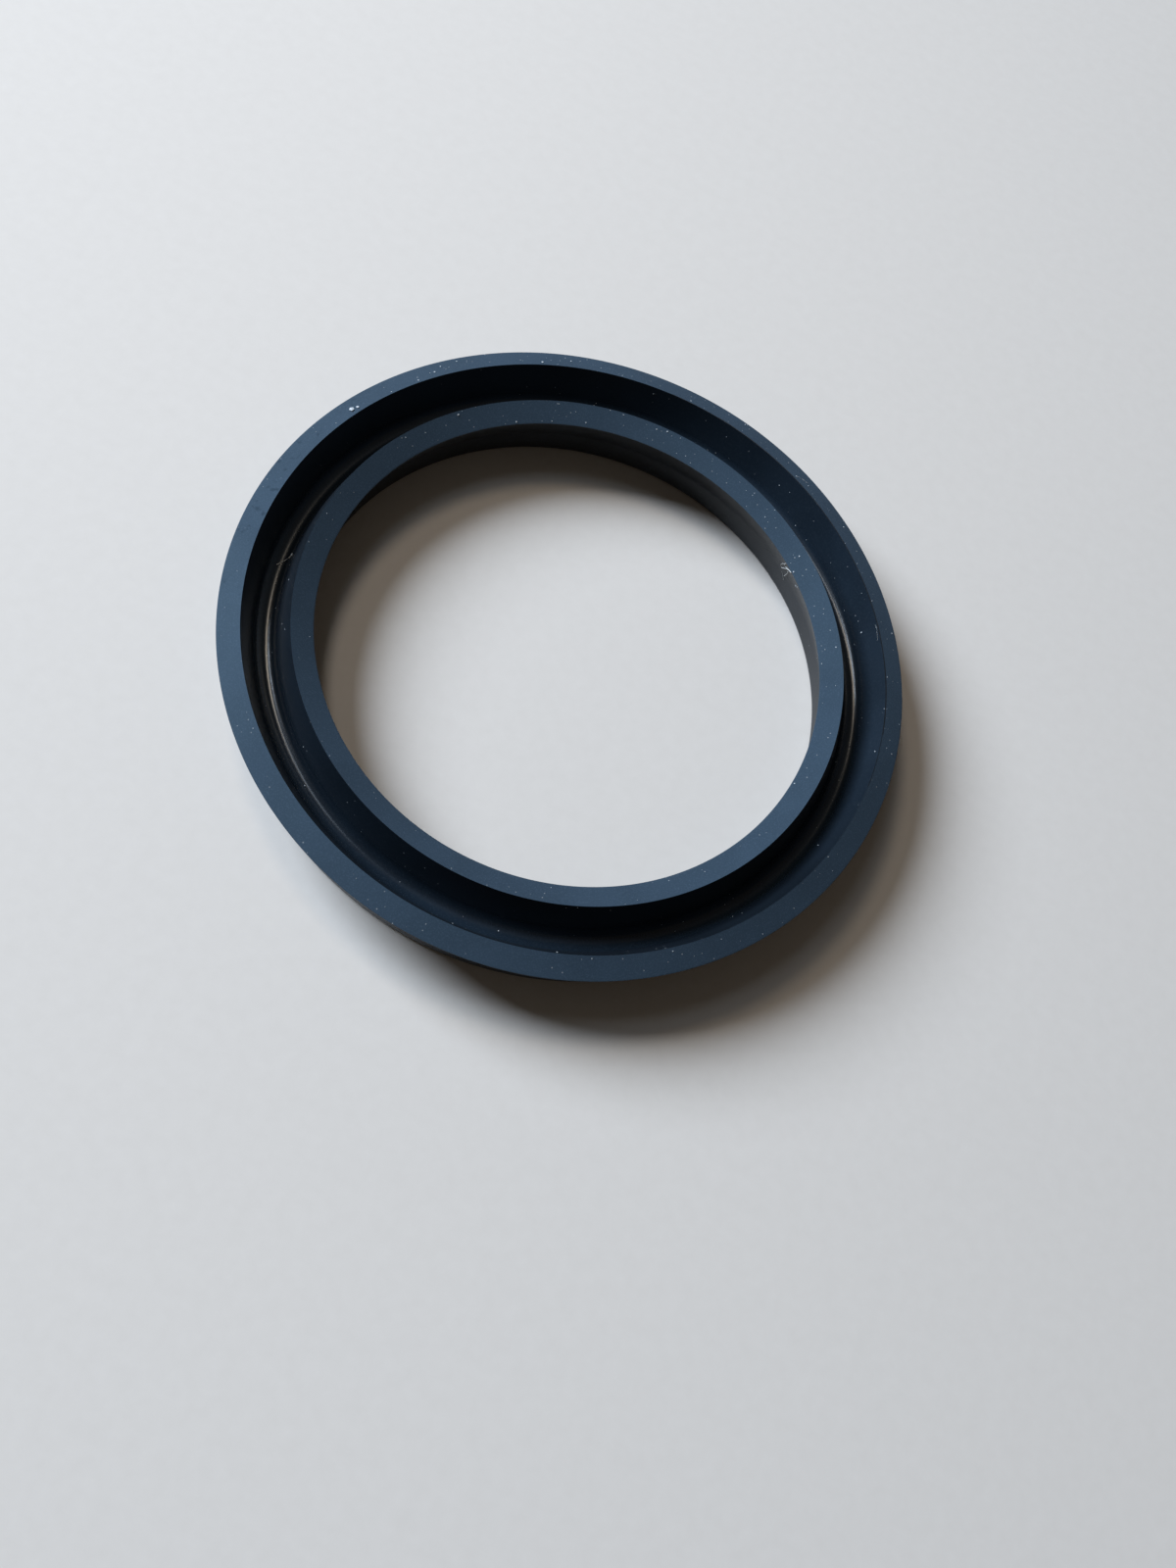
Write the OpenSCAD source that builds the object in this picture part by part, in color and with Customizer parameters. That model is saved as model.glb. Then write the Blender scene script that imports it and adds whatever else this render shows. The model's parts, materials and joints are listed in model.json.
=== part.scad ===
// U-cup seal: one moulded rubber ring that seals a rod in its housing groove.
// The ring lies on its heel face at z = 0, with both lips opening upward.
// The origin is the centre of the heel face, and +Z is the ring's axis.

/* [Ring] */
// Diameter of the rod that the seal runs on
rod_d = 40; // [20:1:120]
// Radial gap between the rod and the heel's bore
heel_gap = 0.25; // [0.1:0.05:0.6]
// Overall height, from the heel face to the crests of the lips
seal_h = 6; // [5:0.1:9]

/* [Heel] */
// Radial width of the heel
heel_w = 4.25; // [3.5:0.05:6]
// Height of the heel's straight walls, where the lips start to flare
heel_wall_h = 2.4; // [1.4:0.1:3.2]
// Radius on both corners of the heel face
heel_corner_r = 0.5; // [0.1:0.05:1]

/* [Lips] */
// How far the inner sealing edge stands inside the heel's bore
inner_flare = 1.25; // [0.5:0.05:1.8]
// How far the outer sealing edge stands outside the heel
outer_flare = 1.2; // [0.5:0.05:1.8]
// Radial width of the bevelled land on each lip
land_w = 1.65; // [1:0.05:2]
// Slope of the inner lip's land, down from its crest to the sealing edge
inner_bevel = 25; // [5:1:35]
// Slope of the outer lip's land, down from its crest to the sealing edge
outer_bevel = 20; // [5:1:35]
// Radius of the bend where each lip leaves the heel
lip_root_r = 1.5; // [0.5:0.1:3]

/* [Groove] */
// Depth of the groove below the lip crests
groove_depth = 3; // [2:0.1:4]
// Radius of the groove's rounded floor
groove_floor_r = 0.85; // [0.4:0.05:1.2]

/* [Hidden] */

rubber = [0.13, 0.15, 0.18];
ring_steps = 180;       // facets round the ring in the preview
corner_steps = 6;       // segments on each rounded corner
floor_steps = 16;       // segments on the groove floor

// Radii of the section
heel_in = rod_d / 2 + heel_gap;
heel_out = heel_in + heel_w;
edge_in = heel_in - inner_flare;
edge_out = heel_out + outer_flare;
crest_in = edge_in + land_w;
crest_out = edge_out - land_w;

// Heights of the sealing edges, below the crests by the fall of each land
edge_in_z = seal_h - land_w * tan(inner_bevel);
edge_out_z = seal_h - land_w * tan(outer_bevel);

// Centre of the groove floor's arc, midway between the crests
floor_c = [(crest_in + crest_out) / 2, seal_h - groove_depth + groove_floor_r];

// Corners of the section, as [radius, height]
heel_in_foot = [heel_in, 0];
heel_out_foot = [heel_out, 0];
root_out = [heel_out, heel_wall_h];
tip_out = [edge_out, edge_out_z];
top_out = [crest_out, seal_h];
top_in = [crest_in, seal_h];
tip_in = [edge_in, edge_in_z];
root_in = [heel_in, heel_wall_h];

function unit(v) = v / norm(v);

// A difference of two angles, brought between -180 and 180
function turn(a) = a - 360 * round(a / 360);

// Points along an arc that starts at angle a and goes through sweep
function arc(c, r, a, sweep, steps) =
    [for (i = [0:steps]) c + r * [cos(a + sweep * i / steps), sin(a + sweep * i / steps)]];

// Corner b, between a and c, rounded with radius r
function rounded(a, b, c, r) =
    let (
        u = unit(a - b),
        v = unit(c - b),
        half = acos(u * v) / 2,
        centre = b + unit(u + v) * r / sin(half),
        from = b + u * r / tan(half) - centre,
        to = b + v * r / tan(half) - centre,
        start = atan2(from[1], from[0]),
        end = atan2(to[1], to[0])
    )
    arc(centre, r, start, turn(end - start), corner_steps);

// Angle on the floor's arc where the straight wall from a crest meets it.
// side is 1 for the outer wall and -1 for the inner one.
function wall_tangent(crest, side) =
    let (
        to_crest = crest - floor_c,
        lean = acos(groove_floor_r / norm(to_crest))
    )
    atan2(to_crest[1], to_crest[0]) - side * lean;

// The groove floor, from the outer wall round to the inner wall
function groove_floor() =
    let (
        start = wall_tangent(top_out, 1),
        end = wall_tangent(top_in, -1) - 360
    )
    arc(floor_c, groove_floor_r, start, end - start, floor_steps);

// The whole section, anticlockwise from the heel's inner corner
module section() {
    polygon(concat(
        rounded(root_in, heel_in_foot, heel_out_foot, heel_corner_r),
        rounded(heel_in_foot, heel_out_foot, root_out, heel_corner_r),
        rounded(heel_out_foot, root_out, tip_out, lip_root_r),
        [tip_out, top_out],
        groove_floor(),
        [top_in, tip_in],
        rounded(tip_in, root_in, heel_in_foot, lip_root_r)
    ));
}

module seal_ring() {
    color(rubber)
        rotate_extrude($fn = ring_steps)
            section();
}

seal_ring();
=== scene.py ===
import json
import math
import random

import bpy
from mathutils import Matrix, Quaternion, Vector


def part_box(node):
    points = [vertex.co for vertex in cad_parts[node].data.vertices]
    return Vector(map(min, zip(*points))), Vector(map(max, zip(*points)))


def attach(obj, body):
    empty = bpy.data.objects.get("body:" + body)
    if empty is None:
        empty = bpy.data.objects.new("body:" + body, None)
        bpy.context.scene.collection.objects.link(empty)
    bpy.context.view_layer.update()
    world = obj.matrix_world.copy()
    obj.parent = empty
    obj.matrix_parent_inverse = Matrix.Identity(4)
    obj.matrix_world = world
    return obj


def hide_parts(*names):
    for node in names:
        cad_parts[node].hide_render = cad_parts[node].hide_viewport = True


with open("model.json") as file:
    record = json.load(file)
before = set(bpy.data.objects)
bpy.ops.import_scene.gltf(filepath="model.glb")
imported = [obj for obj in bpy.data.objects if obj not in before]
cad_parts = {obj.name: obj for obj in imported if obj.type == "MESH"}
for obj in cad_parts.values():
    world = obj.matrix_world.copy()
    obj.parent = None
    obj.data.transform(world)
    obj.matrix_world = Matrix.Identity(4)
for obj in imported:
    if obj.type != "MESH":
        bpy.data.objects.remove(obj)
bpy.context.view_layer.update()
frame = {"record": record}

mm = 0.001
mergeGap = 0.001 * mm  # points nearer than this are one point
sealNode = "seal_ring"
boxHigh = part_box(sealNode)[1]
mountSizes = {mount["name"]: mount["dims"] for mount in frame["record"]["mounts"]}


def clearSelection():
    active = bpy.context.view_layer.objects.active
    if active and active.mode != "OBJECT":
        bpy.ops.object.mode_set(mode="OBJECT")
    bpy.ops.object.select_all(action="DESELECT")


def onlySelect(piece):
    clearSelection()
    piece.select_set(True)
    bpy.context.view_layer.objects.active = piece


def settlePiece(piece):  # place, turn and scale go into the mesh
    onlySelect(piece)
    bpy.ops.object.transform_apply(location=True, rotation=True, scale=True)


def closeUp():  # merges what meets, then turns every face outward
    bpy.ops.mesh.select_all(action="SELECT")
    bpy.ops.mesh.remove_doubles(threshold=mergeGap)
    bpy.ops.mesh.normals_make_consistent(inside=False)


def addNode(tree, kind, place, **settings):
    node = tree.nodes.new(kind)
    node.location = (place[0] * 190, -place[1] * 170)
    for name, value in settings.items():
        if name in node.inputs:
            node.inputs[name].default_value = value
        else:
            setattr(node, name, value)
    return node


def mathNode(tree, operation, place, first, second=None):
    node = addNode(tree, "ShaderNodeMath", place, operation=operation)
    for socket, value in zip(node.inputs, (first, second)):
        if value is None:
            continue
        if isinstance(value, (int, float)):
            socket.default_value = value
        else:
            tree.links.new(value, socket)
    return node.outputs["Value"]


def remap(tree, place, value, low, high, toLow, toHigh):
    node = addNode(tree, "ShaderNodeMapRange", place, interpolation_type="SMOOTHSTEP")
    node.inputs["From Min"].default_value = low
    node.inputs["From Max"].default_value = high
    for name, bound in (("To Min", toLow), ("To Max", toHigh)):
        if isinstance(bound, (int, float)):
            node.inputs[name].default_value = bound
        else:
            tree.links.new(bound, node.inputs[name])
    tree.links.new(value, node.inputs["Value"])
    return node.outputs["Result"]


def rise(tree, place, value, span):
    return remap(tree, place, value, span[0], span[1], 0.0, 1.0)


def fall(tree, place, value, span):
    return remap(tree, place, value, span[0], span[1], 1.0, 0.0)


def newGroup(name, inputs, outputs):
    tree = bpy.data.node_groups.new(name, "ShaderNodeTree")
    for label, value in inputs.items():
        socket = tree.interface.new_socket(name=label, in_out="INPUT", socket_type="NodeSocketFloat")
        socket.default_value = value
    for label in outputs:
        tree.interface.new_socket(name=label, in_out="OUTPUT", socket_type="NodeSocketFloat")
    start = addNode(tree, "NodeGroupInput", (-5, 0))
    end = addNode(tree, "NodeGroupOutput", (5, 0))
    coords = addNode(tree, "ShaderNodeTexCoord", (-5, 2))
    inMillimetres = addNode(tree, "ShaderNodeVectorMath", (-4, 2), operation="SCALE", Scale=1 / mm)
    tree.links.new(coords.outputs["Object"], inMillimetres.inputs[0])
    return tree, start.outputs, end.inputs, inMillimetres.outputs["Vector"]


def noise(tree, place, coords, scale, detail=2.0, roughness=0.5):
    node = addNode(tree, "ShaderNodeTexNoise", place, Detail=detail, Roughness=roughness)
    tree.links.new(coords, node.inputs["Vector"])
    if isinstance(scale, (int, float)):
        node.inputs["Scale"].default_value = scale
    else:
        tree.links.new(scale, node.inputs["Scale"])
    return node.outputs["Fac"]


def useGroup(tree, group, place, **values):
    node = addNode(tree, "ShaderNodeGroup", place, node_tree=group)
    for name, value in values.items():
        node.inputs[name].default_value = value
    return node


grainLook = {  # scales are in noise cells a millimetre
    "fineness": 9.0,
    "unevenness": 0.4,
    "waveScale": 1.3,
    "paleSpan": (0.45, 0.80),
}


# Fine pits and grains in the rubber
def makeGrainGroup(look):
    tree, given, made, coords = newGroup(
        "rubberGrain",
        {"Fineness": look["fineness"], "Unevenness": look["unevenness"]},
        ("Height", "Pale Grain"))
    fine = noise(tree, (-2, 0), coords, given["Fineness"], 3.0, 0.6)
    wide = noise(tree, (-2, 2), coords, look["waveScale"], 2.0)
    wider = mathNode(tree, "MULTIPLY", (0, 2), wide, given["Unevenness"])
    tree.links.new(mathNode(tree, "ADD", (1, 0), fine, wider), made["Height"])
    tree.links.new(rise(tree, (1, 3), fine, look["paleSpan"]), made["Pale Grain"])
    return tree


smudgeLook = {
    "patchSize": 0.22,
    "softSpan": (0.35, 0.65),
    "hazeScale": 0.11,
    "markScale": 1.5,
    "markSpan": (0.58, 0.70),
    "scuffedSide": (-24.5, -21.0),  # millimetres along X, over which the scuffs thin out
}


# Soft duller patches all over, and a few scuffs on the left of the ring
def makeSmudgeGroup(look):
    tree, given, made, coords = newGroup(
        "rubberSmudge", {"Patch Size": look["patchSize"]}, ("Patches", "Haze", "Scuffs"))
    patches = noise(tree, (-2, 0), coords, given["Patch Size"], 2.0, 0.5)
    haze = noise(tree, (-2, 2), coords, look["hazeScale"], 1.0)
    marks = noise(tree, (-2, 4), coords, look["markScale"], 3.0, 0.6)
    split = addNode(tree, "ShaderNodeSeparateXYZ", (-2, 6))
    tree.links.new(coords, split.inputs[0])
    onSide = fall(tree, (-1, 6), split.outputs["X"], look["scuffedSide"])
    scuffs = rise(tree, (-1, 4), marks, look["markSpan"])
    tree.links.new(rise(tree, (0, 0), patches, look["softSpan"]), made["Patches"])
    tree.links.new(rise(tree, (0, 2), haze, look["softSpan"]), made["Haze"])
    tree.links.new(mathNode(tree, "MULTIPLY", (1, 5), scuffs, onSide), made["Scuffs"])
    return tree


zoneLook = {  # millimetres
    "middle": 22.2,              # radius that parts the inner wall from the outer
    "innerSpan": (-0.25, 0.25),
    "outerSpan": (-0.4, 0.0),
    "wallSpan": (3.3, 4.0),      # heights over which the floor turns into wall
    "darkerWay": (0.5, -0.866, 0),
    "darkerSpan": (11.0, 21.0),    # distances along darkerWay
}


# The groove's inner wall is darker than the rest, its walls are duller than its
# floor, and one stretch of the outer wall is a shade darker
def makeGrooveZoneGroup(look):
    tree, given, made, coords = newGroup(
        "grooveZones", {"Middle Radius": look["middle"]}, ("Inner Side", "Walls", "Darker Stretch"))
    level = addNode(tree, "ShaderNodeVectorMath", (-2, 0), operation="MULTIPLY")
    tree.links.new(coords, level.inputs[0])
    level.inputs[1].default_value = (1, 1, 0)
    reach = addNode(tree, "ShaderNodeVectorMath", (-1, 0), operation="LENGTH")
    tree.links.new(level.outputs[0], reach.inputs[0])
    inside = mathNode(tree, "SUBTRACT", (0, 0), given["Middle Radius"], reach.outputs["Value"])
    tree.links.new(rise(tree, (1, 0), inside, look["innerSpan"]), made["Inner Side"])
    split = addNode(tree, "ShaderNodeSeparateXYZ", (-1, 2))
    tree.links.new(coords, split.inputs[0])
    walls = rise(tree, (1, 2), split.outputs["Z"], look["wallSpan"])
    tree.links.new(walls, made["Walls"])
    towards = addNode(tree, "ShaderNodeVectorMath", (-1, 4), operation="DOT_PRODUCT")
    tree.links.new(coords, towards.inputs[0])
    towards.inputs[1].default_value = look["darkerWay"]
    stretch = rise(tree, (0, 4), towards.outputs["Value"], look["darkerSpan"])
    outerWall = fall(tree, (0, 6), inside, look["outerSpan"])
    onWall = mathNode(tree, "MULTIPLY", (1, 6), outerWall, walls)
    tree.links.new(mathNode(tree, "MULTIPLY", (2, 5), onWall, stretch), made["Darker Stretch"])
    return tree


# Dust too small to model: scattered pale points
def makeDustGroup():
    tree, given, made, coords = newGroup(
        "powderDust", {"Spacing": 2.4, "Point Size": 0.12, "Amount": 0.5}, ("Points",))
    cells = addNode(tree, "ShaderNodeTexVoronoi", (-2, 0), feature="F1")
    tree.links.new(coords, cells.inputs["Vector"])
    tree.links.new(given["Spacing"], cells.inputs["Scale"])
    split = addNode(tree, "ShaderNodeSeparateColor", (-1, 1))
    tree.links.new(cells.outputs["Color"], split.inputs["Color"])
    size = mathNode(tree, "MULTIPLY", (0, 1), split.outputs["Green"], given["Point Size"])
    point = mathNode(tree, "LESS_THAN", (1, 0), cells.outputs["Distance"], size)
    kept = mathNode(tree, "LESS_THAN", (1, 1), split.outputs["Red"], given["Amount"])
    tree.links.new(mathNode(tree, "MULTIPLY", (2, 0), point, kept), made["Points"])
    return tree


grainGroup = makeGrainGroup(grainLook)
smudgeGroup = makeSmudgeGroup(smudgeLook)
dustGroup = makeDustGroup()
zoneGroup = makeGrooveZoneGroup(zoneLook)
print("node groups made")


powderColour = (0.20, 0.21, 0.22, 1)
noColour = (0.0, 0.0, 0.0, 1)

landFinish = {  # the bevels on the lips: matt, with a pale bloom
    "dark": (0.0246, 0.0396, 0.0588, 1),
    "light": (0.0278, 0.0448, 0.0666, 1),
    "grain": (0.072, 0.105, 0.150, 1),
    "scuff": (0.0150, 0.0260, 0.0410, 1),
    "specularTint": (0.50, 0.80, 1.0, 1),
    "specular": 0.38,
    "roughness": (0.70, 0.78),
    "bloom": 0.05,
    "bloomTint": (0.60, 0.80, 1.0, 1),
    "fineness": 9.5,
    "grainDepth": 0.011 * mm,
    "grainTint": 0.35,
    "dust": 0.55,
}

grooveFinish = {  # inside the groove: smoother and darker
    "dark": (0.0086, 0.0151, 0.0235, 1),
    "light": (0.0103, 0.0181, 0.0282, 1),
    "grain": (0.035, 0.048, 0.062, 1),
    "scuff": (0.0080, 0.0140, 0.0210, 1),
    "specularTint": (0.95, 0.98, 1.0, 1),
    "specular": 0.48,
    "roughness": (0.21, 0.24),
    "bloom": 0.0,
    "bloomTint": (1, 1, 1, 1),
    "fineness": 7.0,
    "grainDepth": 0.0012 * mm,
    "grainTint": 0.30,
    "dust": 0.25,
    "innerSide": 0.42,
    "darkerStretch": 0.50,
    "wallsRougher": 0.10,
}

bodyFinish = {  # heel and bore
    "dark": (0.0080, 0.0108, 0.0145, 1),
    "light": (0.0100, 0.0135, 0.0180, 1),
    "grain": (0.036, 0.042, 0.050, 1),
    "scuff": (0.0090, 0.0110, 0.0140, 1),
    "specularTint": (0.95, 0.98, 1.0, 1),
    "specular": 0.5,
    "roughness": (0.42, 0.48),
    "bloom": 0.0,
    "bloomTint": (1, 1, 1, 1),
    "fineness": 7.5,
    "grainDepth": 0.005 * mm,
    "grainTint": 0.35,
    "dust": 0.20,
}

outsideFinish = {  # the heel's outside and the back of the outer lip
    "dark": (0.0150, 0.0215, 0.0300, 1),
    "light": (0.0180, 0.0255, 0.0350, 1),
    "grain": (0.036, 0.046, 0.058, 1),
    "scuff": (0.0130, 0.0180, 0.0250, 1),
    "specularTint": (0.95, 0.98, 1.0, 1),
    "specular": 0.5,
    "roughness": (0.27, 0.32),
    "bloom": 0.0,
    "bloomTint": (1, 1, 1, 1),
    "fineness": 7.5,
    "grainDepth": 0.003 * mm,
    "grainTint": 0.30,
    "dust": 0.20,
}


def mixColour(tree, place, factor, first, second):
    node = addNode(tree, "ShaderNodeMix", place, data_type="RGBA")
    tree.links.new(factor, node.inputs["Factor"])
    for socket, value in ((node.inputs[6], first), (node.inputs[7], second)):
        if isinstance(value, tuple):
            socket.default_value = value
        else:
            tree.links.new(value, socket)
    return node.outputs[2]


def makeRubber(name, finish):
    material = bpy.data.materials.new(name)
    material.use_nodes = True
    tree = material.node_tree
    shader = tree.nodes["Principled BSDF"]
    shader.inputs["IOR"].default_value = 1.5
    shader.inputs["Specular IOR Level"].default_value = finish["specular"]
    shader.inputs["Specular Tint"].default_value = finish["specularTint"]
    shader.inputs["Sheen Weight"].default_value = finish["bloom"]
    shader.inputs["Sheen Tint"].default_value = finish["bloomTint"]
    grain = useGroup(tree, grainGroup, (-6, 0), Fineness=finish["fineness"])
    smudge = useGroup(tree, smudgeGroup, (-6, 2))
    dust = useGroup(tree, dustGroup, (-6, 4), Amount=finish["dust"])

    base = mixColour(tree, (-5, 0), smudge.outputs["Patches"], finish["dark"], finish["light"])
    tint = mathNode(tree, "MULTIPLY", (-5, 2), grain.outputs["Pale Grain"], finish["grainTint"])
    grained = mixColour(tree, (-4, 0), tint, base, finish["grain"])
    scuffed = mixColour(tree, (-3, 0), smudge.outputs["Scuffs"], grained, finish["scuff"])
    smooth, rough = finish["roughness"]
    roughness = remap(tree, (-2, 2), smudge.outputs["Haze"], 0, 1, smooth, rough)
    if "innerSide" in finish:
        zones = useGroup(tree, zoneGroup, (-6, 6))
        share = mathNode(tree, "MULTIPLY", (-4, 6), zones.outputs["Inner Side"], finish["innerSide"])
        scuffed = mixColour(tree, (-3, 6), share, scuffed, noColour)
        # a stretch of the outer wall towards the near right is painted darker
        dim = mathNode(tree, "MULTIPLY", (-4, 7), zones.outputs["Darker Stretch"], finish["darkerStretch"])
        scuffed = mixColour(tree, (-3, 7), dim, scuffed, noColour)
        duller = mathNode(tree, "MULTIPLY", (-3, 8), zones.outputs["Walls"], finish["wallsRougher"])
        roughness = mathNode(tree, "ADD", (-2, 8), roughness, duller)
    dusty = mixColour(tree, (-2, 0), dust.outputs["Points"], scuffed, powderColour)
    tree.links.new(dusty, shader.inputs["Base Color"])
    tree.links.new(roughness, shader.inputs["Roughness"])
    bump = addNode(tree, "ShaderNodeBump", (-2, 4), Distance=finish["grainDepth"], Strength=1.0)
    tree.links.new(grain.outputs["Height"], bump.inputs["Height"])
    tree.links.new(bump.outputs["Normal"], shader.inputs["Normal"])
    return material


landRubber = makeRubber("land_rubber", landFinish)
grooveRubber = makeRubber("groove_rubber", grooveFinish)
bodyRubber = makeRubber("body_rubber", bodyFinish)
outsideRubber = makeRubber("outside_rubber", outsideFinish)
print("rubber finishes made")


sealShape = {  # millimetres and degrees
    "heelCorner": 0.5,
    "heelWall": 2.4,                  # where the lips leave the heel
    "innerFlare": 1.25,
    "landWidth": 1.65,
    "innerBevel": 25,
    "outerBevel": 20,
    "rootBend": 1.5,
    "grooveDepth": 3.0,
    "grooveFloor": 0.85,
    "lipEdge": 0.035,                 # the small radius on the sealing edges
    "rimRows": (0.05, 0.10),          # rows for a thin line of painted shade behind the outer crest, standing in for the shade of a small cut there
    "rimShadeAzimuths": (-8, 14, 78, 98),  # where it starts, is full, thins and ends
    "edgeHold": 0.10,                 # width of the narrow row of faces beside an edge
    "edgeSteps": 4,
    "cornerSteps": 6,
    "floorSteps": 24,
    "ringSteps": 360,
    "unevenness": 0.008,              # how far the skin dips, always inward
    "waveSize": 5,
    "sharpFrom": 32,
}


def cornersOf(shape):
    height = boxHigh.z / mm
    edgeOut = boxHigh.x / mm
    heelIn = mountSizes["heel_bore"]["r_mm"]
    heelOut = mountSizes["heel_outside"]["r_mm"]
    land = shape["landWidth"]
    edgeIn = heelIn - shape["innerFlare"]
    crestIn = edgeIn + land
    crestOut = edgeOut - land
    fallIn = land * math.tan(math.radians(shape["innerBevel"]))
    slope = math.tan(math.radians(shape["outerBevel"]))
    halfGroove = (crestOut - crestIn) / 2
    drop = shape["grooveDepth"] - shape["grooveFloor"]
    floorLean = math.asin(shape["grooveFloor"] / math.hypot(halfGroove, drop))
    lean = math.atan2(halfGroove, drop) - floorLean
    apex = height - halfGroove / math.tan(lean)  # where the groove's straight walls would meet
    lipEdge = shape["lipEdge"]
    narrow, wide = shape["rimRows"]
    corner = shape["cornerSteps"]
    edge = shape["edgeSteps"]
    return [  # radius, height, bend, steps round the bend, rows of faces before it
        (heelIn, 0, shape["heelCorner"], corner, 3),
        (heelOut, 0, shape["heelCorner"], corner, 4),
        (heelOut, shape["heelWall"], shape["rootBend"], corner, 3),
        (edgeOut, height - land * slope, lipEdge, edge, 4),
        (crestOut + wide, height - wide * slope, 0, 0, 5),
        (crestOut + narrow, height - narrow * slope, 0, 0, 0),
        (crestOut, height, 0, 0, 0),
        (crestIn + halfGroove, apex, shape["grooveFloor"], shape["floorSteps"], 6),
        (crestIn, height, 0, 0, 6),
        (edgeIn, height - fallIn, lipEdge, edge, 5),
        (heelIn, shape["heelWall"], shape["rootBend"], corner, 4),
    ]


def bendAt(before, corner, after, radius):  # where the bend starts, its centre and its turn
    back = (before - corner).normalized()
    onward = (after - corner).normalized()
    half = back.angle(onward) / 2
    start = corner + back * radius / math.tan(half)
    centre = corner + (back + onward).normalized() * radius / math.sin(half)
    finish = corner + onward * radius / math.tan(half)
    turn = math.pi - 2 * half
    return start, centre, finish, math.copysign(turn, -back.cross(onward))


def startPen(point):
    bpy.ops.mesh.primitive_plane_add(size=mm, location=(point.x, 0, point.y))
    settlePiece(bpy.context.object)
    bpy.ops.object.mode_set(mode="EDIT")
    bpy.ops.mesh.select_mode(type="VERT")
    bpy.ops.mesh.select_all(action="SELECT")
    bpy.ops.mesh.merge(type="CENTER")


def drawStraight(start, end, rows, hold):
    length = (end - start).length
    stops = [0, length]
    if rows:
        even = [hold + (length - 2 * hold) * row / rows for row in range(1, rows + 1)]
        stops = [0, hold] + even + [length]
    way = (end - start).normalized()
    for here, there in zip(stops, stops[1:]):
        step = way * (there - here)
        bpy.ops.mesh.extrude_region_move(TRANSFORM_OT_translate={"value": (step.x, 0, step.y)})


def drawBend(centre, turn, steps):
    bpy.ops.mesh.spin(steps=steps, angle=turn, center=(centre.x, 0, centre.y), axis=(0, 1, 0))


def drawSection(corners, hold):
    points = [Vector((corner[0], corner[1])) * mm for corner in corners]
    bends = []
    for index, corner in enumerate(corners):
        after = points[(index + 1) % len(points)]
        bends.append(bendAt(points[index - 1], points[index], after, corner[2] * mm))
    pen = bends[-1][2]
    startPen(pen)
    for (start, centre, finish, turn), corner in zip(bends, corners):
        drawStraight(pen, start, corner[4], hold * mm)
        if corner[3]:
            drawBend(centre, turn, corner[3])
        pen = finish


def selectFaces(piece, wanted):
    bpy.ops.object.mode_set(mode="EDIT")
    bpy.ops.mesh.select_mode(type="FACE")
    bpy.ops.mesh.select_all(action="DESELECT")
    bpy.ops.object.mode_set(mode="OBJECT")
    for face in piece.data.polygons:
        face.select = wanted(face)
    bpy.ops.object.mode_set(mode="EDIT")


def paintFaces(piece, material, wanted):
    if material.name not in piece.data.materials:
        piece.data.materials.append(material)
    piece.active_material_index = piece.data.materials.find(material.name)
    selectFaces(piece, wanted)
    bpy.ops.object.material_slot_assign()
    bpy.ops.object.mode_set(mode="OBJECT")


finishRules = {  # upward part of a face's normal, and millimetres from the box
    "landUp": 0.45,
    "grooveUp": 0.2,
    "heelDown": -0.9,
    "landDepth": 1.0,
    "outsideDepth": 2.5,
}


def isLand(face):
    onTop = face.center.z > boxHigh.z - finishRules["landDepth"] * mm
    return onTop and face.normal.z > finishRules["landUp"]


def isGroove(face):
    return face.normal.z > finishRules["grooveUp"] and not isLand(face)


def isOutside(face):
    farOut = face.center.xy.length > boxHigh.x - finishRules["outsideDepth"] * mm
    return farOut and finishRules["heelDown"] < face.normal.z < finishRules["grooveUp"]


def fadeBetween(azimuth, stops):
    start, full, fall, end = stops
    return max(0.0, min(1.0, (azimuth - start) / (full - start), (end - azimuth) / (end - fall)))


# Faces just behind the outer crest, painted in the darker body rubber as a thin line of painted shade
# that fades in and out with azimuth
def isPaintedRimShade(face):
    behindCrest = face.center.xy.length / mm - (boxHigh.x / mm - sealShape["landWidth"])
    azimuth = (math.degrees(math.atan2(face.center.y, face.center.x)) + 90) % 360 - 90
    reach = sealShape["rimRows"][1] * fadeBetween(azimuth, sealShape["rimShadeAzimuths"])
    return isLand(face) and 0 < behindCrest < reach


def makeSealRing(shape):
    clearSelection()
    drawSection(cornersOf(shape), shape["edgeHold"])
    ring = bpy.context.object
    ring.name = "u_cup_ring"
    bpy.ops.mesh.select_all(action="SELECT")
    bpy.ops.mesh.spin(steps=shape["ringSteps"], angle=2 * math.pi, center=(0, 0, 0), axis=(0, 0, 1))
    closeUp()
    bpy.ops.object.mode_set(mode="OBJECT")

    skin = bpy.data.textures.new("mouldedSkin", "CLOUDS")
    skin.noise_scale = shape["waveSize"] * mm
    bpy.ops.object.modifier_add(type="DISPLACE")
    dips = ring.modifiers[-1]
    dips.texture = skin
    dips.texture_coords = "LOCAL"
    dips.mid_level = 1.0
    dips.strength = shape["unevenness"] * mm
    bpy.ops.object.modifier_apply(modifier=dips.name)

    ring.data.materials.clear()
    paintFaces(ring, bodyRubber, lambda face: True)
    paintFaces(ring, outsideRubber, isOutside)
    paintFaces(ring, grooveRubber, isGroove)
    paintFaces(ring, landRubber, isLand)
    # the thin line of painted shade behind the outer crest
    paintFaces(ring, bodyRubber, isPaintedRimShade)
    bpy.ops.object.shade_smooth_by_angle(angle=math.radians(shape["sharpFrom"]))
    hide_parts(sealNode)
    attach(ring, "root")
    return ring


sealRing = makeSealRing(sealShape)
print("seal ring made:", len(sealRing.data.polygons), "faces")


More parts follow.
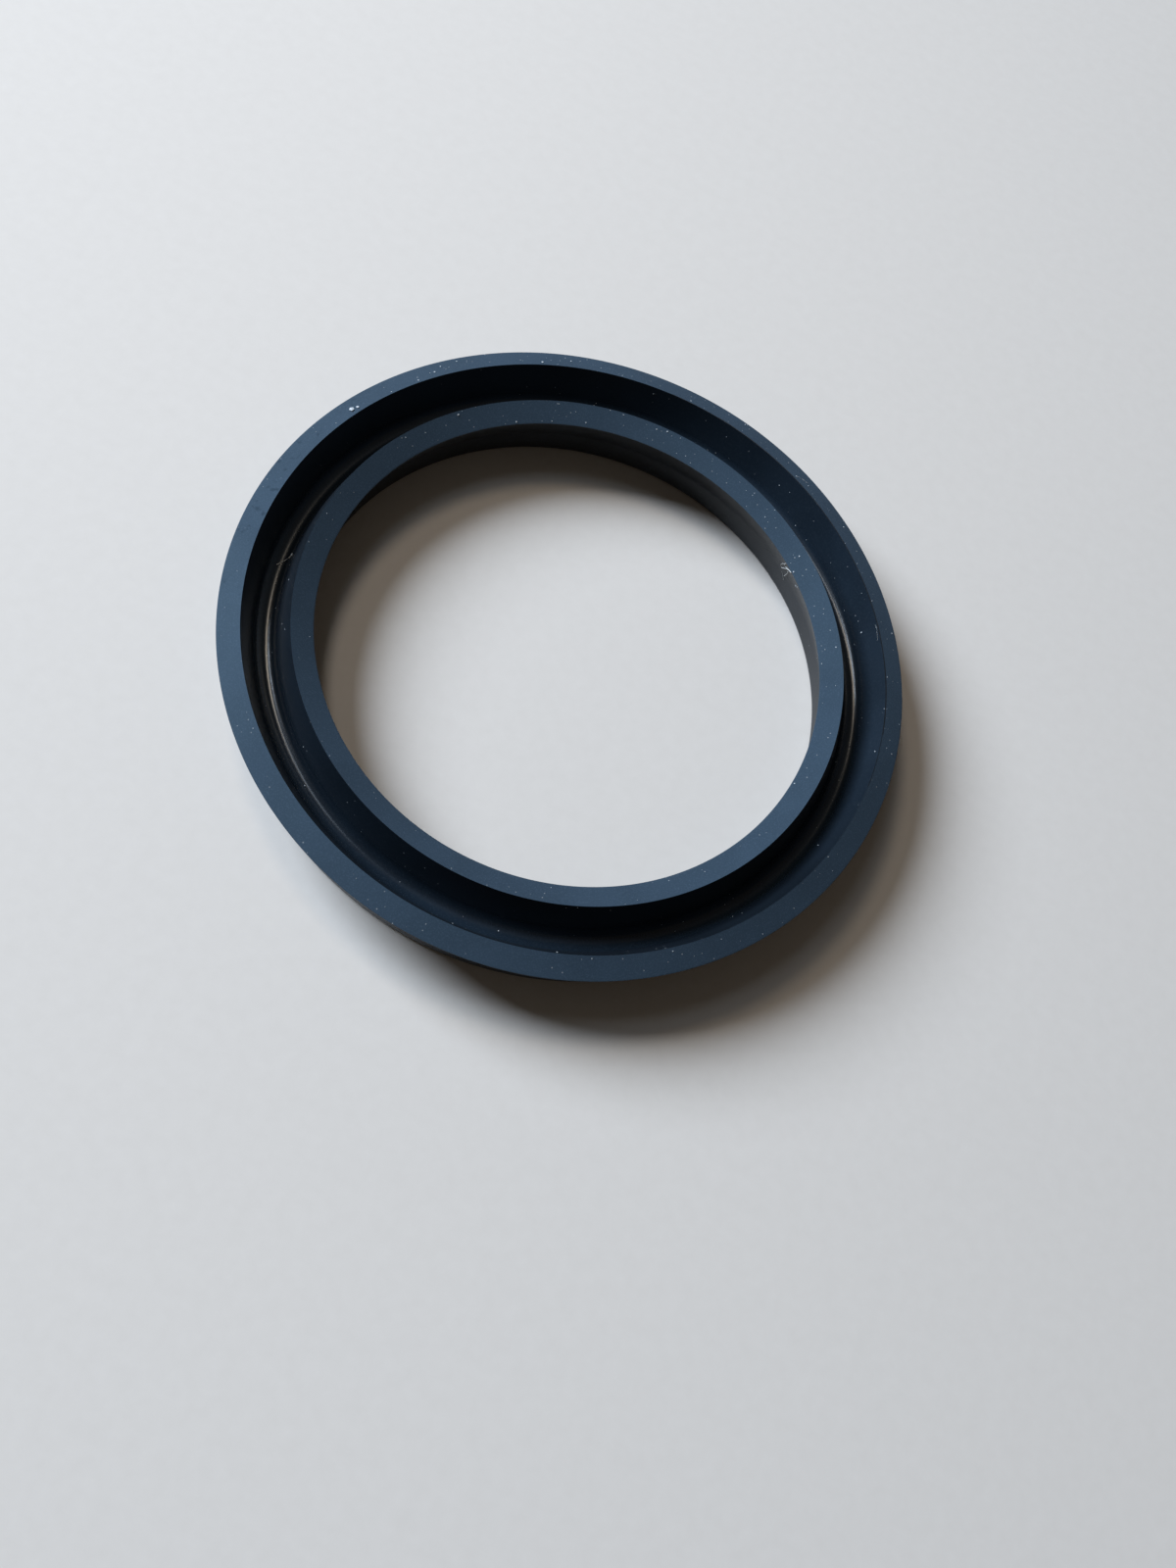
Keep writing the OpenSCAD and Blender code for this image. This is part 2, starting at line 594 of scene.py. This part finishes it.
def makePaleMaterial(name, look):
    material = bpy.data.materials.new(name)
    material.use_nodes = True
    tree = material.node_tree
    shader = tree.nodes["Principled BSDF"]
    shader.inputs["Roughness"].default_value = look["roughness"]
    coords = addNode(tree, "ShaderNodeTexCoord", (-6, 0))
    tone = noise(tree, (-4, 0), coords.outputs["Object"], look["toneScale"])
    mixed = mixColour(tree, (-2, 0), tone, look["deeper"], look["pale"])
    tree.links.new(mixed, shader.inputs["Base Color"])
    return material


def along(azimuth):  # the level direction out from the ring's axis
    angle = math.radians(azimuth)
    return Vector((math.cos(angle), math.sin(angle), 0))


def dropOn(ring, azimuth, radius):  # where something falling there lands
    start = along(azimuth) * radius * mm + Vector((0, 0, 2 * boxHigh.z))
    return ring.ray_cast(start, Vector((0, 0, -1)))[1:3]


def boreWall(ring, azimuth, height):
    return ring.ray_cast(Vector((0, 0, height * mm)), along(azimuth))[1:3]


def makeFleckShapes(look):
    shapes = []
    for seed in look["shapeSeeds"]:
        clearSelection()
        bpy.ops.mesh.primitive_ico_sphere_add(subdivisions=1, radius=mm)
        shape = bpy.context.object
        bpy.ops.object.mode_set(mode="EDIT")
        bpy.ops.transform.vertex_random(offset=look["jitter"] * mm, uniform=0.4, seed=seed)
        bpy.ops.transform.resize(value=look["flatness"])
        bpy.ops.object.mode_set(mode="OBJECT")
        shapes.append(shape)
    return shapes


def layFleck(shape, landing, halfWidth, turn):
    place, normal = landing
    fleck = shape.copy()
    fleck.data = shape.data.copy()
    bpy.context.collection.objects.link(fleck)
    lying = normal.to_track_quat("Z", "X") @ Quaternion((0, 0, 1), turn)
    raised = place + normal * 0.2 * halfWidth * mm
    fleck.matrix_world = Matrix.LocRotScale(raised, lying, Vector((halfWidth,) * 3))
    return fleck


def joinAll(pieces, name):
    clearSelection()
    for piece in pieces:
        piece.select_set(True)
    bpy.context.view_layer.objects.active = pieces[0]
    bpy.ops.object.join()
    joined = bpy.context.object
    joined.name = name
    settlePiece(joined)
    return joined


dustLook = {
    "pale": (0.62, 0.66, 0.68, 1),
    "deeper": (0.30, 0.33, 0.36, 1),
    "roughness": 0.8,
    "toneScale": 9000.0,
    "shapeSeeds": (3, 8, 14),
    "jitter": 0.3,
    "flatness": (1.0, 0.7, 0.36),
    "turns": (0, 6.28),
    "seed": 23,
    "scattered": 190,
    "halfWidths": (0.022, 0.045),  # millimetres
    "farShare": 0.72,              # how much of it lies on the far side
    "farSide": (5, 150),           # azimuths
    "allRound": (0, 360),
    "bands": ((19.15, 20.6), (24.2, 25.5), (21, 24.1)),  # radii of inner land, outer land and groove
    "placed": [  # azimuth, radius, half width of the flecks that stand out
        (157.0, 24.6, 0.27), (155.9, 24.5, 0.16), (139.3, 24.64, 0.09), (137.6, 25.1, 0.06),
        (134.3, 25.3, 0.06), (148.8, 24.25, 0.05), (143.0, 24.3, 0.07), (118.6, 24.38, 0.11),
        (113.0, 24.84, 0.07), (89.2, 24.32, 0.06), (78.3, 25.4, 0.06), (64.4, 24.45, 0.06),
        (61.6, 24.75, 0.06), (51.5, 25.15, 0.07), (43.5, 24.3, 0.05), (35.5, 24.25, 0.06),
        (29.2, 25.4, 0.08), (19.8, 24.25, 0.06), (5.4, 25.2, 0.06), (4.7, 23.9, 0.07),
        (30.9, 23.46, 0.08), (65.7, 23.56, 0.06), (96.4, 23.85, 0.06), (107.0, 22.9, 0.06),
        (139.3, 20.4, 0.09), (126.3, 19.2, 0.08), (117.7, 19.2, 0.06), (109.6, 19.36, 0.06),
        (101.4, 20.5, 0.05), (93.4, 20.32, 0.06), (91.0, 20.48, 0.08), (61.2, 19.72, 0.05),
        (49.0, 20.05, 0.08), (49.2, 19.72, 0.05), (46.3, 19.15, 0.07), (25.6, 20.3, 0.06),
        (22.0, 19.2, 0.05), (350.2, 19.2, 0.06), (344.1, 23.3, 0.06), (341.0, 24.2, 0.06),
        (186.4, 21.75, 0.1), (193.9, 21.2, 0.06), (203.7, 21.2, 0.06), (205.6, 21.0, 0.05),
        (229.0, 21.4, 0.05), (235.0, 22.4, 0.06), (271.0, 23.3, 0.06), (278.9, 22.4, 0.06),
        (288.5, 23.8, 0.09), (293.9, 24.25, 0.06), (306.5, 23.95, 0.06), (307.4, 24.3, 0.06),
        (289.5, 20.75, 0.05), (291.6, 20.7, 0.05), (298.1, 20.8, 0.05),
    ],
    "onBore": [  # azimuth, height, half width
        (44.1, 4.22, 0.1), (43.2, 4.62, 0.08), (27.8, 2.4, 0.045), (87.7, 3.97, 0.04),
        (73.0, 2.9, 0.035),
    ],
}


def scatteredPoint(chance, look):
    onFarSide = chance.random() < look["farShare"]
    azimuth = chance.uniform(*look["farSide"]) if onFarSide else chance.uniform(*look["allRound"])
    radii = [chance.uniform(*band) for band in look["bands"]]
    return azimuth, chance.choice(radii)


def makeDust(ring, look):
    chance = random.Random(look["seed"])
    shapes = makeFleckShapes(look)
    flecks = []

    def addFleck(landing, halfWidth):
        shape = chance.choice(shapes)
        flecks.append(layFleck(shape, landing, halfWidth, chance.uniform(*look["turns"])))

    for azimuth, radius, halfWidth in look["placed"]:
        addFleck(dropOn(ring, azimuth, radius), halfWidth)
    for azimuth, height, halfWidth in look["onBore"]:
        addFleck(boreWall(ring, azimuth, height), halfWidth)
    for count in range(look["scattered"]):
        azimuth, radius = scatteredPoint(chance, look)
        addFleck(dropOn(ring, azimuth, radius), chance.uniform(*look["halfWidths"]))
    for shape in shapes:
        bpy.data.objects.remove(shape)
    dust = joinAll(flecks, "dust_flecks")
    dust.data.materials.append(makePaleMaterial("pale_dust", look))
    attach(dust, "root")
    return dust


lintLook = {
    "pale": (0.80, 0.82, 0.80, 1),
    "deeper": (0.55, 0.56, 0.54, 1),
    "roughness": 0.8,
    "toneScale": 4000.0,
    "standOff": 0.03,  # millimetres clear of the rubber
    "boreFibres": [  # half thickness, then azimuth and height along the fibre
        (0.026, ((49.1, 5.21), (49.8, 4.60), (49.2, 4.30), (48.0, 4.85), (46.4, 5.20))),
        (0.022, ((50.9, 2.95), (50.2, 3.35), (49.4, 3.90), (48.4, 4.50), (47.4, 5.00))),
        (0.016, ((49.5, 4.75), (50.5, 4.20), (51.6, 3.10), (51.4, 2.60), (50.6, 3.05))),
        (0.022, ((48.1, 4.20), (48.4, 3.70), (48.9, 3.10), (49.3, 2.60), (49.6, 2.15))),
        (0.010, ((50.7, 2.24), (50.3, 2.15), (49.9, 2.03), (49.5, 1.90), (49.1, 1.76))),
    ],
    "grooveFibres": [  # half thickness, then azimuth and radius along the fibre
        (0.020, ((186.6, 21.70), (187.3, 21.85), (188.0, 22.10), (188.6, 22.30), (189.3, 22.55))),
        (0.006, ((62.0, 24.95), (62.6, 24.80), (63.2, 24.78), (63.8, 24.65), (64.4, 24.45))),
        (0.004, ((27.4, 23.95), (28.2, 23.98), (29.0, 23.99), (29.8, 24.02), (30.6, 24.00))),
    ],
}


def makeFibre(points, halfThickness):
    clearSelection()
    bpy.ops.curve.primitive_nurbs_path_add(location=(0, 0, 0))
    fibre = bpy.context.object
    path = fibre.data.splines[0]
    for knot, point in zip(path.points, points):
        knot.co = (point.x, point.y, point.z, 1)
    path.order_u = 3
    path.use_endpoint_u = True
    path.resolution_u = 5
    fibre.data.bevel_depth = halfThickness * mm
    fibre.data.bevel_resolution = 1
    fibre.data.use_fill_caps = True
    bpy.ops.object.convert(target="MESH")
    return bpy.context.object


def makeLint(ring, look):
    fibres = []

    def addFibre(landings, halfThickness):
        points = [place + normal * look["standOff"] * mm for place, normal in landings]
        fibres.append(makeFibre(points, halfThickness))

    for halfThickness, stations in look["boreFibres"]:
        addFibre([boreWall(ring, azimuth, height) for azimuth, height in stations], halfThickness)
    for halfThickness, stations in look["grooveFibres"]:
        addFibre([dropOn(ring, azimuth, radius) for azimuth, radius in stations], halfThickness)
    lint = joinAll(fibres, "lint_fibres")
    bpy.ops.object.mode_set(mode="EDIT")
    closeUp()
    bpy.ops.object.mode_set(mode="OBJECT")
    bpy.ops.object.shade_smooth()
    lint.data.materials.clear()
    lint.data.materials.append(makePaleMaterial("pale_lint", look))
    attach(lint, "root")
    return lint


makeDust(sealRing, dustLook)
makeLint(sealRing, lintLook)
print("dust and lint laid")


stageLook = {
    "floorSize": 1.6,
    "floorRoughness": 0.85,
    "mottle": 900.0,
    "floorPale": (0.71, 0.665, 0.61, 1),
    "floorDeeper": (0.66, 0.615, 0.56, 1),
    "fill": (1.0, 0.85, 0.70, 1),
    "fillStrength": 0.06,
    "background": (0.78, 0.77, 0.76, 1),
}


def makeFloor(look):
    clearSelection()
    bpy.ops.mesh.primitive_plane_add(size=look["floorSize"], location=(0, 0, 0))
    floor = bpy.context.object
    floor.name = "floor"
    material = bpy.data.materials.new("pale_card")
    material.use_nodes = True
    tree = material.node_tree
    shader = tree.nodes["Principled BSDF"]
    shader.inputs["Roughness"].default_value = look["floorRoughness"]
    coords = addNode(tree, "ShaderNodeTexCoord", (-6, 0))
    mottle = noise(tree, (-4, 0), coords.outputs["Object"], look["mottle"], 4.0, 0.6)
    mixed = mixColour(tree, (-2, 0), mottle, look["floorDeeper"], look["floorPale"])
    tree.links.new(mixed, shader.inputs["Base Color"])
    floor.data.materials.append(material)


def makeWorld(look):
    world = bpy.data.worlds.new("studioAir")
    bpy.context.scene.world = world
    world.use_nodes = True
    tree = world.node_tree
    fill = tree.nodes["Background"]
    fill.inputs["Color"].default_value = look["fill"]
    fill.inputs["Strength"].default_value = look["fillStrength"]
    seen = addNode(tree, "ShaderNodeBackground", (0, 2), Color=look["background"], Strength=1.0)
    path = addNode(tree, "ShaderNodeLightPath", (0, -2))
    mixed = addNode(tree, "ShaderNodeMixShader", (2, 0))
    tree.links.new(path.outputs["Is Camera Ray"], mixed.inputs[0])
    tree.links.new(fill.outputs["Background"], mixed.inputs[1])
    tree.links.new(seen.outputs["Background"], mixed.inputs[2])
    tree.links.new(mixed.outputs["Shader"], tree.nodes["World Output"].inputs["Surface"])


windowLight = {
    "azimuth": 167,
    "elevation": 35,
    "distance": 0.9,
    "width": 0.44,
    "height": 0.52,
    "watts": 15.0,
    "colour": (0.74, 0.85, 1.0),
}

deskLamp = {
    "azimuth": 147,
    "elevation": 61,
    "distance": 0.29,
    "width": 0.055,
    "height": 0.055,
    "watts": 0.105,
    "colour": (1.0, 0.85, 0.68),
}

skyLight = {
    "azimuth": 161,
    "elevation": 70,
    "distance": 0.45,
    "width": 0.09,
    "height": 0.09,
    "watts": 0.09,
    "colour": (0.70, 0.83, 1.0),
}


def makeLight(name, lamp):
    azimuth = math.radians(lamp["azimuth"])
    elevation = math.radians(lamp["elevation"])
    towards = Vector((math.cos(elevation) * math.cos(azimuth),
                      math.cos(elevation) * math.sin(azimuth),
                      math.sin(elevation)))
    bpy.ops.object.light_add(type="AREA", location=towards * lamp["distance"])
    light = bpy.context.object
    light.name = name
    light.rotation_euler = towards.to_track_quat("Z", "Y").to_euler()
    light.data.shape = "ELLIPSE"
    light.data.size = lamp["width"]
    light.data.size_y = lamp["height"]
    light.data.energy = lamp["watts"]
    light.data.color = lamp["colour"]


benchCamera = {
    "place": (0, -51.29, 93.15),
    "turn": (21.958, -12.652, 21.574),
    "lens": 31.5,
}


def makeCamera(settings):
    place = [value * mm for value in settings["place"]]
    turn = [math.radians(value) for value in settings["turn"]]
    bpy.ops.object.camera_add(location=place, rotation=turn)
    camera = bpy.context.object
    camera.data.lens = settings["lens"]
    camera.data.clip_start = 1 * mm
    bpy.context.scene.camera = camera


makeFloor(stageLook)
makeWorld(stageLook)
makeLight("window_light", windowLight)
makeLight("desk_lamp", deskLamp)
makeLight("sky_light", skyLight)
makeCamera(benchCamera)
bpy.context.scene.view_settings.view_transform = "Standard"
print("stage, lights and camera made")
